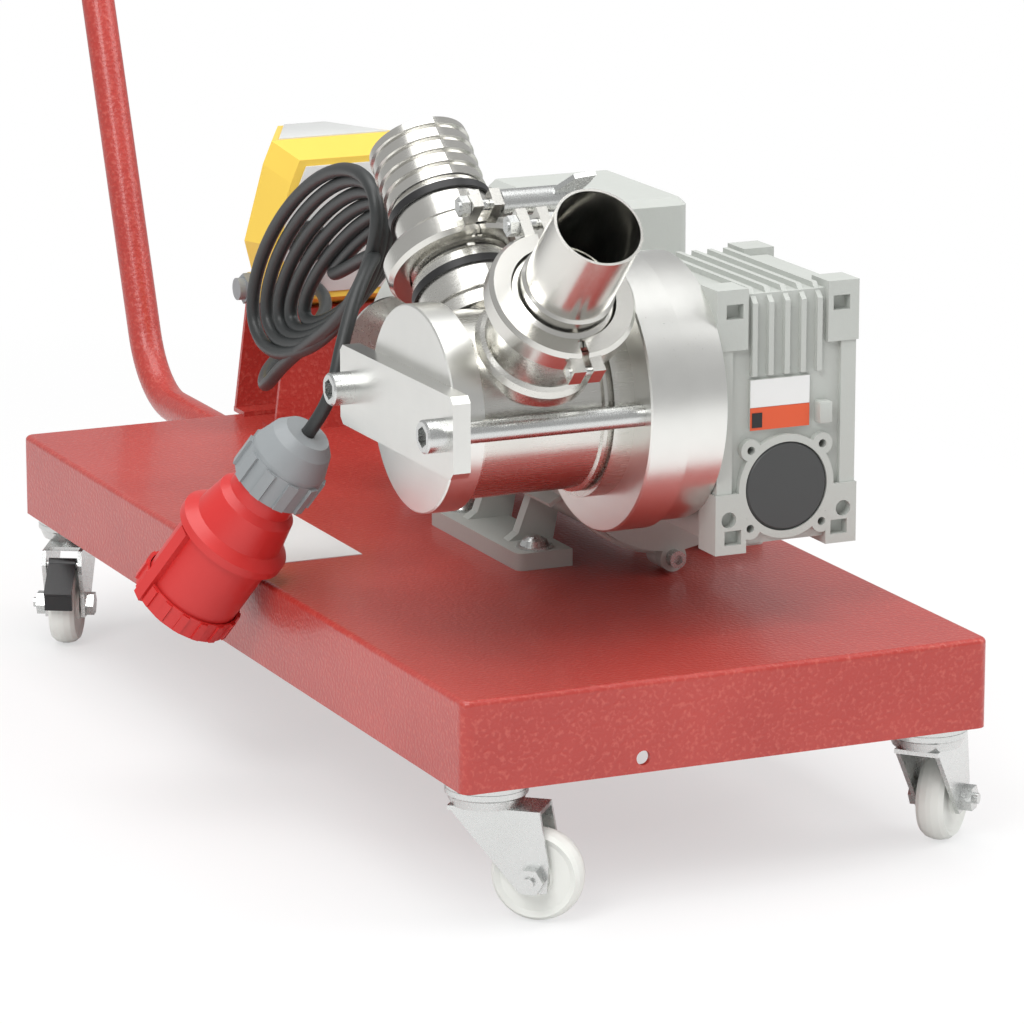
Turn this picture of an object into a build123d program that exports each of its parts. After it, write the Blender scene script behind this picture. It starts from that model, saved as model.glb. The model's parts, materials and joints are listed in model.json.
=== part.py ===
from build123d import *
import os
from math import sin, cos, tan, radians, degrees, atan2, sqrt, pi

os.makedirs("parts", exist_ok=True)

# ---------------------------------------------------------------- driving dimensions, mm
# +X towards the trolley's front end, +Y away from the pump cover, +Z up, floor at z = 0.

# trolley
deck_length = 680.0
deck_width = 310.0
deck_height = 50.0
deck_sheet = 3.0
deck_corner = 6.0
deck_edge = 3.0
skirt_hole = 4.0

# casters
caster_height = 74.0
caster_inset = 24.0
caster_plate = 3.0
caster_trail = 28.0
caster_directions = {"front_near": (1, -1, 50), "front_far": (1, 1, 132), "rear_near": (-1, -1, -30),
                     "rear_far": (-1, 1, 150)}
race_radius = 22.0
race_height = 9.0
wheel_radius = 25.0
wheel_width = 18.0
fork_sheet = 2.5
axle_radius = 4.0
pedal_pin_radius = 2.0
pedal_angle = 38.0

# push handle
handle_radius = 11.0
handle_wall = 2.0
handle_bend = 60.0
handle_drop = 25.0
handle_run = 180.0
handle_lean = 20.3
handle_height = 884.0
crossbar_length = 300.0
grip_length = 110.0
grip_wall = 4.0

# motor, a foot and flange frame with an 80 mm shaft height
shaft_height = 80.0
motor_y = 62.0
foot_front = 105.0
foot_length = 125.0
foot_width = 157.0
foot_thickness = 10.0
foot_bolt_pitch_x = 100.0
foot_bolt_pitch_y = 125.0
foot_bolt_radius = 4.5
frame_radius = 68.0
frame_wall = 5.0
frame_back = -86.0
fin_height = 8.0
fin_count = 28
motor_flange_radius = 70.0
motor_flange_thickness = 12.0
flange_lug_radius = 8.0
flange_screw_radius = 3.0
neck_plate = 7.0
end_shield_length = 10.0
cowl_length = 48.0
cowl_wall = 1.6
rotor_radius = 38.0
rotor_length = 95.0
stator_radius = 62.5
motor_shaft_radius = 9.5
terminal_width = 80.0
terminal_length = 105.0
terminal_height = 36.0
terminal_front = 80.0
terminal_lid_height = 9.0

# worm gearbox
gearbox_front = 280.0
gearbox_length = 120.0
gearbox_width = 85.0
gearbox_height = 144.5
gearbox_wall = 8.0
gearbox_inset = 4.0
corner_block = (20.0, 18.5, 33.0)
pocket_width = 10.0
pocket_height = 8.0
pocket_depth = 6.0
slot_height = 9.0
slot_reach = 11.7
corner_hole = 4.4
fin_first = 21.4
fin_pitch = 9.7
fin_rows = 5
fin_bevel = 7.5
plate_width = 35.5
plate_height = 27.5
plate_rise = 46.0
plate_offset = -3.8
centre_distance = 48.0
output_to_top = 62.0
output_to_front = 60.0
input_neck_length = 23.0
wheel_teeth = 30
worm_starts = 3
tooth_module = 2.5
gear_width = 24.0
hub_radius = 17.0
cap_radius = 24.5
cap_boss_radius = 28.5
seat_depth = 14.0
cap_lug_pitch = 43.0
cap_lug_radius = 6.0
cap_lug_hole = 2.3
gear_fin = 3.0
rail = 9.0

# pump
pump_shaft_radius = 12.5
adapter_thickness = 23.0
adapter_radius = 73.0
flange_thickness = 23.0
flange_radius = 76.0
body_radius = 50.5
body_bore = 42.0
collar_radius = 56.0
collar_length = 12.0
body_length = 87.0
chamber_depth = 52.0
cover_radius = 56.0
cover_thickness = 17.0
bar_length = 151.0
bar_height = 44.0
bar_thickness = 10.0
tie_rod_radius = 6.0
tie_rod_pitch = 126.0
screw_head_radius = 9.0
screw_head_height = 12.0
cam_rise = 5.0
vane_count = 8
vane_thickness = 6.0
running_gap = 0.3

# ports, measured along each port's axis from the pump's axis
port_angle = 45.0
port_setback = 49.0
stub_radius = 29.5
stub_end = 82.0
weld_leg = 4.0
port_bore = 22.0
ferrule_radius = 32.0
ferrule_face = 92.4
ferrule_lip = 3.0
gasket_thickness = 1.6
neck_radius = 25.4
discharge_radius = 24.0
discharge_end = 160.0
suction_radius = 27.5
barb_start = 127.0
suction_end = 169.0
mouth_bore = 22.5
mouth_depth = 50.0
barb_count = 5
clamp_radius = 40.0
clamp_width = 15.0
clamp_split = 1.6
ear_reach = 16.0
clamp_bolt_radius = 3.0

# cable hook beside the pump
hook_reach = 155.0
hook_rise = 14.5
hook_radius = 5.0
hook_gap = 0.3
hook_length = 95.0
hook_plate_radius = 28.0
hook_plate_sheet = 2.0

# inverter and its stand
stand_front = -277.0
stand_depth = 70.0
stand_sheet = 3.0
stand_y = 37.0
stand_height = 78.0
stand_foot_width = 94.0
stand_top_width = 74.0
inverter_width = 124.0
inverter_top_width = 86.0
inverter_height = 106.0
inverter_foot_flare = 8.0
inverter_wall = 4.0
shoulder_drop = 14.0
crown_drop = 0.5
wide_level = 0.42
housing_back_gap = 6.0
inverter_depth = 54.0
inverter_taper = 26.0
cover_depth = 24.0
cover_margin = 9.0
knob_offset = 30.0
knob_level = 46.0
knob_radius = 13.0
knob_height = 12.0
gland_radius = 7.0
gland_boss = 10.0
gland_boss_depth = 13.0
gland_nose = 9.0
gland_level = 11.0
gland_setback = 15.0
front_gland_offset = 31.0
front_gland_level = 20.0

# mains lead; heights are above the deck
cable_radius = 4.0
coil_half_width = 17.0
coil_centre = (-27.0, -76.0, 161.0)
coil_long = 124.0
coil_short = 51.0
coil_band = 34.0
coil_tilt = 29.0
plug_tilt = (0.489, 0.382, 0.806)
plug_place = (38.0, -194.0, -16.0)
shroud_radius = 28.0
shroud_length = 52.0
plug_ring_radius = 33.0
plug_length = 96.0
nut_length = 40.0
nut_radius = 22.5

# bends of the two free runs of the lead; heights are above the deck
lead_places = [(114.0, -131.0, 122.0), (110.0, -125.0, 141.0), (97.0, -112.0, 162.5), (77.5, -96.0, 175.5),
               (56.5, -80.0, 181.5)]
feed_start = 25.0
feed_places = [(-198.0, -8.0, 87.0), (-168.0, -58.0, 70.0), (-122.0, -80.0, 64.0), (-78.0, -76.0, 92.0)]

fit = 0.05

# ---------------------------------------------------------------- derived places
deck_top = caster_height + deck_height
shaft_z = deck_top + shaft_height
pump_x = gearbox_front - output_to_front
pump_z = shaft_z + centre_distance
gearbox_near = motor_y - gearbox_width / 2
gearbox_far = motor_y + gearbox_width / 2
gearbox_back = gearbox_front - gearbox_length
gearbox_top = pump_z + output_to_top
gearbox_bottom = gearbox_top - gearbox_height
adapter_near = gearbox_near - adapter_thickness
flange_near = adapter_near - flange_thickness
body_near = flange_near - body_length
cover_near = body_near - cover_thickness
bar_near = cover_near - bar_thickness
port_y = flange_near - port_setback
lid_back = stand_front - stand_depth + housing_back_gap + inverter_depth
motor_face = gearbox_back - input_neck_length
frame_front = motor_face - motor_flange_thickness
axle_z = wheel_radius
swivel_x = deck_length / 2 - caster_inset
swivel_y = deck_width / 2 - caster_inset
race_top = caster_height - caster_plate
handle_z = deck_top - handle_drop
handle_turn_x = -deck_length / 2 - handle_run
handle_top_x = handle_turn_x - (handle_height - handle_z) * tan(radians(handle_lean))
grip_radius = handle_radius + grip_wall

X, Y, Z = Vector(1, 0, 0), Vector(0, 1, 0), Vector(0, 0, 1)
discharge_axis = Vector(sin(radians(port_angle)), 0, cos(radians(port_angle)))
suction_axis = Vector(-sin(radians(port_angle)), 0, cos(radians(port_angle)))
port_centre = Vector(pump_x, port_y, pump_z)
plug_rim = Vector(*plug_place) + Z * deck_top


# ---------------------------------------------------------------- helpers
def rod(radius, length, at, axis=Z):
    """Cylinder from a base centre along an axis."""
    base = Plane(origin=Vector(at), z_dir=axis)
    return base * Cylinder(radius, length, align=(Align.CENTER, Align.CENTER, Align.MIN))


def ring(outer, inner, length, at, axis=Z):
    return rod(outer, length, at, axis) - rod(inner, length, at, axis)


def block(low, high):
    size = Vector(high) - Vector(low)
    return Pos(*low) * Box(size.X, size.Y, size.Z, align=(Align.MIN, Align.MIN, Align.MIN))


def turned(profile, at, axis=Z):
    """Solid of revolution of (radius, height) points about an axis."""
    outline = make_face(Polyline(*[(r, 0, h) for r, h in profile], close=True))
    return Plane(origin=Vector(at), z_dir=axis) * revolve(outline, Axis.Z)


def hexagon(flats, length, at, axis):
    face = RegularPolygon(flats / 2, 6, major_radius=False)
    return extrude(Plane(origin=Vector(at), z_dir=axis) * face, length)


def along(axis, distance):
    return port_centre + axis * distance


nodes = {}


# ---------------------------------------------------------------- trolley
def deck_tray():
    half_x, half_y = deck_length / 2, deck_width / 2
    tray = block((-half_x, -half_y, caster_height), (half_x, half_y, deck_top))
    tray = fillet(tray.edges().filter_by(Axis.Z), deck_corner)
    tray = fillet(tray.faces().sort_by(Axis.Z)[-1].edges(), deck_edge)
    wall = deck_sheet
    tray -= block((-half_x + wall, -half_y + wall, caster_height), (half_x - wall, half_y - wall, deck_top - wall))
    tray -= rod(skirt_hole, deck_sheet * 3, (half_x - deck_sheet * 2, -half_y / 3, caster_height + 8), X)
    tray -= rod(handle_radius + fit, deck_sheet * 3, (-half_x - deck_sheet, 0, handle_z), X)
    for x, y in foot_bolts_at():
        tray -= rod(foot_bolt_radius + fit, deck_sheet * 2, (x, y, deck_top - deck_sheet * 1.5))
    return tray


def foot_bolts_at():
    centre_x = foot_front - foot_length / 2
    return [(centre_x + sx * foot_bolt_pitch_x / 2, motor_y + sy * foot_bolt_pitch_y / 2)
            for sx in (-1, 1) for sy in (-1, 1)]


def caster_places():
    return {name: (sx, sy, Vector(cos(radians(turn)), sin(radians(turn)), 0))
            for name, (sx, sy, turn) in caster_directions.items()}


def swivel_at(sx, sy):
    return Vector(sx * swivel_x, sy * swivel_y, 0)


def caster_mounts():
    """Corner plates inside the skirt's lower edge with the fixed upper ball race and king pin."""
    plates = []
    for sx, sy, _ in caster_places().values():
        at = swivel_at(sx, sy)
        inner_x, inner_y = deck_length / 2 - deck_sheet - fit, deck_width / 2 - deck_sheet - fit
        reach = 2 * caster_inset
        low_x, high_x = sorted((sx * inner_x, sx * (inner_x - reach)))
        low_y, high_y = sorted((sy * inner_y, sy * (inner_y - reach)))
        plate = block((low_x, low_y, caster_height), (high_x, high_y, caster_height + deck_sheet))
        plate += rod(race_radius, caster_plate, (at.X, at.Y, race_top))
        plate += rod(axle_radius, race_height, (at.X, at.Y, race_top - race_height))
        plates.append(plate)
    return Compound(plates)


def pedal_pivot():
    """Pedal hinge in the fork's own plane: distance along the trail, height."""
    return caster_trail + 12, axle_z + wheel_radius + 3


def caster_fork(sx, sy, trail):
    at = swivel_at(sx, sy)
    side = trail.cross(Z)
    hub = Vector(at.X, at.Y, axle_z) + trail * caster_trail
    gap = wheel_width / 2 + 1.0
    top = race_top - fit * 4
    head = turned([(axle_radius + fit, -race_height), (race_radius - 3, -race_height), (race_radius - 1, -4),
                   (race_radius, -3), (race_radius, 0), (axle_radius + fit, 0)], (at.X, at.Y, top))
    crown_z = top - race_height
    fork = head
    back = Vector(at.X, at.Y, 0)
    reach, height = pedal_pivot()
    nose = [(reach + 2, crown_z), (reach + 5, height), (reach + 3, height - 6)] if sx < 0 \
        else [(caster_trail + 4, crown_z)]
    for turn in (-1, 1):
        outline = [(-race_radius + 4, crown_z)] + nose + [(caster_trail + 9, axle_z + 8),
                   (caster_trail + 8, axle_z - 7), (caster_trail - 7, axle_z - 8)]
        low = gap if turn > 0 else -gap - fork_sheet
        plane = Plane(origin=back + side * low, x_dir=trail, z_dir=side)
        fork += extrude(plane * make_face(Polyline(*outline, close=True)), fork_sheet)
    bridge = Plane(origin=Vector(at.X, at.Y, crown_z - fork_sheet), x_dir=trail, z_dir=Z)
    span = 2 * (gap + fork_sheet)
    fork += bridge * Pos(-race_radius + 4, 0, 0) * Box(
        race_radius + caster_trail, span, fork_sheet, align=(Align.MIN, Align.CENTER, Align.MIN))
    bore = rod(axle_radius + fit, span + 10, hub - side * (span / 2 + 5), side)
    fork -= bore
    if sx < 0:
        fork += rod(pedal_pin_radius, span, back + trail * reach + Z * height - side * (span / 2), side)
    return fork, hub, side, span


def caster_axle(hub, side, span):
    """Axle bolt: hexagon head, shank and nut."""
    start = hub - side * (span / 2)
    shank = rod(axle_radius, span, start, side)
    shank += hexagon(13, 5, start - side * 5, side)
    shank += hexagon(13, 6, start + side * span, side)
    shank += rod(axle_radius - 1, 2.5, start + side * (span + 6), side)
    return shank


def caster_wheel(hub, side):
    half = wheel_width / 2
    bore = axle_radius + fit
    profile = [(bore, -half), (9, -half), (10, -half + 2), (wheel_radius - 6, -half + 2.5),
               (wheel_radius - 3, -half + 1), (wheel_radius - 1, -half + 3.5), (wheel_radius, -1.5),
               (wheel_radius, 1.5), (wheel_radius - 1, half - 3.5), (wheel_radius - 3, half - 1),
               (wheel_radius - 6, half - 2.5), (10, half - 2), (9, half), (bore, half)]
    return turned(profile, hub, side)


def brake_pedal(at, trail):
    """Sloping tread plate that hinges on the fork above the wheel."""
    side = trail.cross(Z)
    width = wheel_width - 1
    reach, height = pedal_pivot()
    pivot = Vector(at.X, at.Y, 0) + trail * reach + Z * height
    frame = Plane(origin=pivot, x_dir=trail, z_dir=side)
    slope = radians(pedal_angle)
    outline = [(0, 0), (2, 2.2), (26 * cos(slope) + 2, -26 * sin(slope) + 2.2), (26 * cos(slope), -26 * sin(slope)),
               (26 * cos(slope) - 1, -26 * sin(slope) - 9), (26 * cos(slope) - 4, -26 * sin(slope) - 9),
               (22 * cos(slope), -22 * sin(slope) + 1)]
    plate = extrude(frame * make_face(Polyline(*outline, close=True)), width / 2, both=True)
    plate += rod(pedal_pin_radius + 1.8, width, pivot - side * (width / 2), side)
    return plate - rod(pedal_pin_radius + fit, width + 2, pivot - side * (width / 2 + 1), side), pivot


def push_handle():
    lean = radians(handle_lean)
    start = (-deck_length / 2 + deck_sheet + 8, 0, handle_z)
    corner = (handle_turn_x, 0, handle_z)
    top = (handle_top_x, 0, handle_height)
    route = FilletPolyline(start, corner, top, radius=handle_bend)
    section = Plane(origin=start, z_dir=-X) * Circle(handle_radius)
    tube = sweep(section, path=route)
    hollow = sweep(Plane(origin=start, z_dir=-X) * Circle(handle_radius - handle_wall), path=route)
    tube -= hollow
    bar = ring(handle_radius, handle_radius - handle_wall, crossbar_length,
               (handle_top_x, -crossbar_length / 2, handle_height), Y)
    tube = tube - rod(handle_radius, crossbar_length, (handle_top_x, -crossbar_length / 2, handle_height), Y) + bar
    return tube


def handle_grips():
    grips = []
    for sy in (-1, 1):
        start = sy * (crossbar_length / 2 - grip_length)
        at = (handle_top_x, start, handle_height)
        profile = [(handle_radius + fit, 0), (grip_radius, 0), (grip_radius, 6)]
        step = (grip_length - 12) / 6
        for index in range(6):
            low = 6 + index * step
            profile += [(grip_radius - 1, low + 2), (grip_radius - 1, low + step - 2), (grip_radius, low + step)]
        profile += [(grip_radius, grip_length), (grip_radius - 2, grip_length + 3), (0, grip_length + 3),
                    (0, grip_length + fit), (handle_radius + fit, grip_length + fit)]
        grips.append(turned(profile, at, Y * sy))
    return Compound(grips)


# ---------------------------------------------------------------- inverter
def inverter_stand():
    """Folded sheet bridge: tapered front plate, shelf, rear plate and two foot flanges."""
    top = deck_top + stand_height
    half_foot, half_top = stand_foot_width / 2, stand_top_width / 2
    outline = [(-half_foot, deck_top), (half_foot, deck_top), (half_top, top), (-half_top, top)]
    plates = None
    for x in (stand_front - stand_sheet, stand_front - stand_depth):
        face = Plane(origin=(x, stand_y, 0), x_dir=Y, z_dir=X) * make_face(Polyline(*outline, close=True))
        plate = extrude(face, stand_sheet)
        plates = plate if plates is None else plates + plate
    shelf = block((stand_front - stand_depth, stand_y - half_top, top - stand_sheet),
                  (stand_front, stand_y + half_top, top))
    low_x, high_x = stand_front - stand_depth, stand_front - stand_sheet
    plates += shelf
    plates += block((low_x, stand_y - half_foot, deck_top), (low_x + 18, stand_y + half_foot, deck_top + stand_sheet))
    plates += block((high_x - 18, stand_y - half_foot, deck_top), (high_x, stand_y + half_foot, deck_top + stand_sheet))
    return plates


def inverter_outline(margin, base, crown):
    """Eight-cornered front outline, widest below mid height."""
    top, wide = inverter_top_width / 2 - margin, inverter_width / 2 - margin
    low = inverter_top_width / 2 + inverter_foot_flare - margin
    peak = inverter_height - crown
    right = [(low, base), (wide, inverter_height * wide_level), (top + 6, peak - shoulder_drop), (top, peak)]
    return right + [(-y, z) for y, z in reversed(right)]


def inverter_frame(x):
    return Plane(origin=(x, stand_y, deck_top + stand_height), x_dir=Y, z_dir=X)


def inverter_section(x, margin, base, crown):
    return inverter_frame(x) * make_face(Polyline(*inverter_outline(margin, base, crown), close=True))


def inverter_housing():
    """Shell that narrows towards its back, with a boss for the cable gland."""
    back = lid_back - inverter_depth
    shell = loft([inverter_section(back, inverter_taper, 0, crown_drop), inverter_section(lid_back, 0, 0, 0)])
    wall = inverter_wall
    shell -= loft([inverter_section(back + wall, inverter_taper + wall, wall, crown_drop + wall),
                   inverter_section(lid_back, wall, wall, wall)])
    x, y, z = gland_at()
    boss = rod(gland_boss, gland_boss_depth, (x, y, z), Y)
    shell += boss
    return shell - rod(gland_radius + fit, gland_boss_depth, (x, y - fit, z), Y)


def front_gland_at():
    return Vector(lid_back + cover_depth, stand_y - front_gland_offset, deck_top + stand_height + front_gland_level)


def inverter_cover():
    front = inverter_section(lid_back + cover_depth, cover_margin, cover_margin, cover_margin)
    lid = loft([inverter_section(lid_back, 0, 0, 0), front])
    return lid - rod(gland_radius + fit, gland_boss_depth, front_gland_at() - X * (gland_boss_depth - fit), X)


def knob_at():
    return Vector(lid_back + cover_depth, stand_y - knob_offset, deck_top + stand_height + knob_level)


def inverter_knob():
    base = knob_at() + X * running_gap
    knob = turned([(0, 0), (knob_radius, 0), (knob_radius, 4), (knob_radius - 2, 5),
                   (knob_radius - 3, knob_height), (0, knob_height)], base, X)
    grip = Plane(origin=base + X * knob_height, z_dir=X) * Box(
        2 * knob_radius - 8, 4, 2.5, align=(Align.CENTER, Align.CENTER, Align.MIN))
    return knob + grip


def gland_at():
    half = inverter_top_width / 2 + inverter_foot_flare - inverter_taper * gland_setback / inverter_depth
    return lid_back - gland_setback, stand_y - half - gland_boss_depth + inverter_wall, deck_top + stand_height + gland_level


# ---------------------------------------------------------------- motor
def motor_frame():
    """Finned barrel with a pad for the terminal box."""
    length = frame_front - frame_back
    at = (frame_back, motor_y, shaft_z)
    frame = rod(frame_radius, length, at, X)
    for index in range(fin_count):
        angle = 360 * (index + 0.5) / fin_count
        if 60 < angle < 120 or 215 < angle < 325:
            continue
        fin = block((frame_back + 6, -1.25, frame_radius - 2), (frame_front - 8, 1.25, frame_radius + fin_height))
        frame += Pos(0, motor_y, shaft_z) * (Rot(angle - 90, 0, 0) * fin)
    pad_low, pad_high = terminal_front - terminal_length, terminal_front
    frame += block((pad_low, motor_y - terminal_width / 2 + 6, shaft_z + frame_radius - 14),
                   (pad_high, motor_y + terminal_width / 2 - 6, terminal_base))
    return frame - rod(frame_radius - frame_wall, length + 2, (frame_back - 1, motor_y, shaft_z), X)


def motor_feet():
    """Cast sole bars with sloping webs up to the barrel."""
    back = foot_front - foot_length
    low_y, high_y = motor_y - foot_width / 2, motor_y + foot_width / 2
    sole = block((back, low_y, deck_top), (foot_front, high_y, deck_top + foot_thickness))
    sole = fillet(sole.edges().filter_by(Axis.Z), 5)
    sole -= block((back - 1, low_y + 34, deck_top - 1), (foot_front + 1, high_y - 34, deck_top + foot_thickness + 1))
    feet = sole
    for sy in (-1, 1):
        outline = [(sy * (foot_width / 2 - 34), deck_top), (sy * (foot_width / 2 - 8), deck_top + foot_thickness),
                   (sy * (foot_width / 2 - 14), deck_top + foot_thickness + 4),
                   (sy * (frame_radius - 14), shaft_z - 38), (sy * (frame_radius - 30), shaft_z - 46)]
        for x in (back + 30, foot_front - 38):
            web = Plane(origin=(x, motor_y, 0), x_dir=Y, z_dir=X) * make_face(Polyline(*outline, close=True))
            feet += extrude(web, 8)
    for x, y in foot_bolts_at():
        feet -= rod(foot_bolt_radius + fit, foot_thickness * 4, (x, y, deck_top - 1))
    return feet - rod(frame_radius, foot_length + 2, (back - 1, motor_y, shaft_z), X)


terminal_base = shaft_z + frame_radius + fin_height


def foot_bolts():
    """Dome-headed bolts with washers above the feet and nuts below the deck."""
    bolts = []
    for x, y in foot_bolts_at():
        top = deck_top + foot_thickness
        low = deck_top - deck_sheet
        bolt = turned([(0, top + 7), (4, top + 6.4), (7, top + 4.5), (8.5, top + 1.5), (10.5, top + 1.5),
                       (10.5, top), (foot_bolt_radius, top), (foot_bolt_radius, low - 7), (0, low - 7)], (x, y, 0))
        bolts.append(bolt + hexagon(13, 6, (x, y, low - 6), Z))
    return Compound(bolts)


def motor_flange():
    """Front flange with four screw lugs and a bearing seat."""
    at = (frame_front, motor_y, shaft_z)
    bore = motor_shaft_radius + 8
    flange = turned([(bore, 0), (motor_flange_radius, 0), (motor_flange_radius, motor_flange_thickness - 1),
                     (motor_flange_radius - 1, motor_flange_thickness), (bore, motor_flange_thickness)], at, X)
    for y, z in flange_screws_at():
        flange += rod(flange_lug_radius, motor_flange_thickness, (frame_front, y, z), X)
        flange -= rod(flange_screw_radius, motor_flange_thickness + 2, (frame_front - 1, y, z), X)
    return flange


def flange_screws_at():
    reach = motor_flange_radius + 1
    return [(motor_y + reach * cos(radians(angle)), shaft_z + reach * sin(radians(angle)))
            for angle in (0, 90, 180, 270)]


def flange_screws():
    screws = []
    for y, z in flange_screws_at():
        shank = rod(flange_screw_radius, motor_flange_thickness + neck_plate, (frame_front, y, z), X)
        head = rod(5, 6, (motor_face + neck_plate, y, z), X)
        screws.append(shank + head - hexagon(5, 4, (motor_face + neck_plate + 3, y, z), X))
    return screws


def motor_end_shield():
    at = (frame_back - end_shield_length, motor_y, shaft_z)
    return turned([(motor_shaft_radius + 8, 0), (frame_radius - 6, 0), (frame_radius, 4),
                   (frame_radius, end_shield_length), (motor_shaft_radius + 8, end_shield_length)], at, X)


def fan_cowl():
    """Pressed cowl: skirt over the end shield, domed back with slotted inlet."""
    front = frame_back - end_shield_length
    outer = frame_radius + 3
    back = front - cowl_length
    shell = turned([(0, 0), (outer - 12, 0), (outer - 4, 3), (outer, 10), (outer, cowl_length),
                    (outer - cowl_wall, cowl_length), (outer - cowl_wall, 11), (outer - 5, 5),
                    (outer - 13, cowl_wall), (0, cowl_wall)], (back, motor_y, shaft_z), X)
    slots = None
    for radius in (18, 30, 42):
        track = ring(radius + 3, radius - 3, cowl_wall * 3, (back - cowl_wall, motor_y, shaft_z), X)
        slots = track if slots is None else slots + track
    for angle in (0, 60, 120):
        spoke = Pos(back, motor_y, shaft_z) * (Rot(angle, 0, 0) * Box(cowl_wall * 8, 2 * outer, 5))
        slots -= spoke
    shell -= slots
    shell += ring(outer - cowl_wall, frame_radius - 8, 2, (front - 2, motor_y, shaft_z), X)
    return shell


def motor_fan():
    front = frame_back - end_shield_length - 6
    hub = ring(14, motor_shaft_radius + fit, 26, (front - 28, motor_y, shaft_z), X)
    disc = ring(52, 13, 2, (front - 4, motor_y, shaft_z), X)
    blades = hub + disc
    for index in range(8):
        blade = block((front - 24, -1, 13), (front - 3, 1, 54))
        blades += Pos(0, motor_y, shaft_z) * (Rot(360 * index / 8, 0, 0) * blade)
    return blades


def rotor():
    """Squirrel-cage core on the motor shaft; the shaft end carries the worm."""
    back = frame_back - end_shield_length - 34
    centre = (frame_back + frame_front) / 2
    shaft = rod(motor_shaft_radius, worm_back - back - fit, (back, motor_y, shaft_z), X)
    core = rod(rotor_radius, rotor_length, (centre - rotor_length / 2, motor_y, shaft_z), X)
    return shaft + core


def stator():
    centre = (frame_back + frame_front) / 2
    return ring(stator_radius, rotor_radius + 0.5, rotor_length + 20,
                (centre - rotor_length / 2 - 10, motor_y, shaft_z), X)


def motor_bearings():
    seats = []
    for x in (frame_front, frame_back - end_shield_length):
        seats.append(ring(motor_shaft_radius + 8, motor_shaft_radius + fit, end_shield_length, (x, motor_y, shaft_z), X))
    return seats


def terminal_body(low, high, top_z, base_z):
    half = terminal_width / 2
    body = block((low, motor_y - half, base_z), (high, motor_y + half, top_z))
    return body


def terminal_box():
    low, high = terminal_front - terminal_length, terminal_front
    split = terminal_base + terminal_height
    body = terminal_body(low, high, split, terminal_base)
    body = fillet(body.edges().filter_by(Axis.Z), 6)
    inner = block((low + 4, motor_y - terminal_width / 2 + 4, terminal_base + 4),
                  (high - 4, motor_y + terminal_width / 2 - 4, split + 1))
    body -= inner
    for y_side in (-1, 1):
        body += rod(9, 8, (low + terminal_length / 2, motor_y + y_side * terminal_width / 2,
                           terminal_base + terminal_height / 2), Y * y_side)
    return body


def terminal_lid():
    low, high = terminal_front - terminal_length, terminal_front
    split = terminal_base + terminal_height
    lid = terminal_body(low, high, split + terminal_lid_height, split)
    lid = fillet(lid.edges().filter_by(Axis.Z), 6)
    return chamfer(lid.faces().sort_by(Axis.Z)[-1].edges(), 4)


# ---------------------------------------------------------------- worm gearbox
wheel_pitch_radius = wheel_teeth * tooth_module / 2
worm_pitch_radius = centre_distance - wheel_pitch_radius
worm_length = 50.0
worm_back = gearbox_back - 10
worm_front = gearbox_front - gearbox_wall - 1.5


def gearbox_housing():
    """Cast case with corner blocks, rails, cooling fins and the worm cap boss."""
    low = Vector(gearbox_back, gearbox_near, gearbox_bottom)
    high = Vector(gearbox_front, gearbox_far, gearbox_top)
    step = Vector(gearbox_inset, gearbox_inset, gearbox_inset)
    case = block(low + step, high - step)
    size_x, size_y, size_z = corner_block
    for x in (low.X, high.X - size_x):
        for y in (low.Y, high.Y - size_y):
            for z in (low.Z, high.Z - size_z):
                case += block((x, y, z), (x + size_x, y + size_y, z + size_z))
    for y in (low.Y + 1, high.Y - rail - 1):
        for x in (low.X + 1, high.X - rail - 1):
            case += block((x, y, low.Z + 2), (x + rail, y + rail, high.Z - 2))
    case += motor_neck()
    case += gear_fins(low, high)
    boss_at = (high.X - gearbox_inset - 1, motor_y, shaft_z)
    case += rod(cap_boss_radius, gearbox_inset + 1, boss_at, X)
    for y, z in cap_lugs_at():
        case += rod(cap_lug_radius, gearbox_inset + 1, (boss_at[0], y, z), X)
    plate_y, plate_z = motor_y + plate_offset, shaft_z + plate_rise
    case += block((high.X - gearbox_inset, plate_y - plate_width / 2, plate_z - plate_height / 2),
                  (high.X - gearbox_inset + 2, plate_y + plate_width / 2, plate_z + plate_height / 2))
    case -= block((low.X + gearbox_wall, low.Y + gearbox_wall, low.Z + gearbox_wall),
                  (high.X - gearbox_wall, high.Y - gearbox_wall, high.Z - gearbox_wall))
    case += rod(cap_boss_radius, seat_depth, (high.X - gearbox_wall - seat_depth, motor_y, shaft_z), X)
    case += rod(output_bore_radius + 8, seat_depth, (pump_x, low.Y, pump_z), Y)
    case += rod(output_bore_radius + 8, seat_depth, (pump_x, high.Y - seat_depth, pump_z), Y)
    case -= rod(cap_radius + fit, gearbox_wall * 3, (high.X - gearbox_wall * 2.8, motor_y, shaft_z), X)
    for y, z in cap_lugs_at():
        case -= rod(cap_lug_hole, gearbox_inset + 8, (high.X - gearbox_inset - 6, y, z), X)
    for cut in corner_pockets(low, high).solids():
        case -= cut
    case -= rod(output_bore_radius, gearbox_width + 2, (pump_x, low.Y - 1, pump_z), Y)
    return case - rod(24, input_neck_length + 20, (motor_face - 1, motor_y, shaft_z), X)


output_bore_radius = 31.0


def motor_neck():
    """Round input flange with four lugs, tapering into the case."""
    reach = input_neck_length + gearbox_inset
    neck = turned([(0, 0), (motor_flange_radius - 3, 0), (motor_flange_radius - 3, neck_plate), (48, neck_plate + 1),
                   (42, neck_plate + 6), (40, reach), (0, reach)], (motor_face, motor_y, shaft_z), X)
    for y, z in flange_screws_at():
        neck += rod(flange_lug_radius, neck_plate, (motor_face, y, z), X)
        neck -= rod(flange_screw_radius + fit, neck_plate + 2, (motor_face - 1, y, z), X)
    return neck


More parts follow.
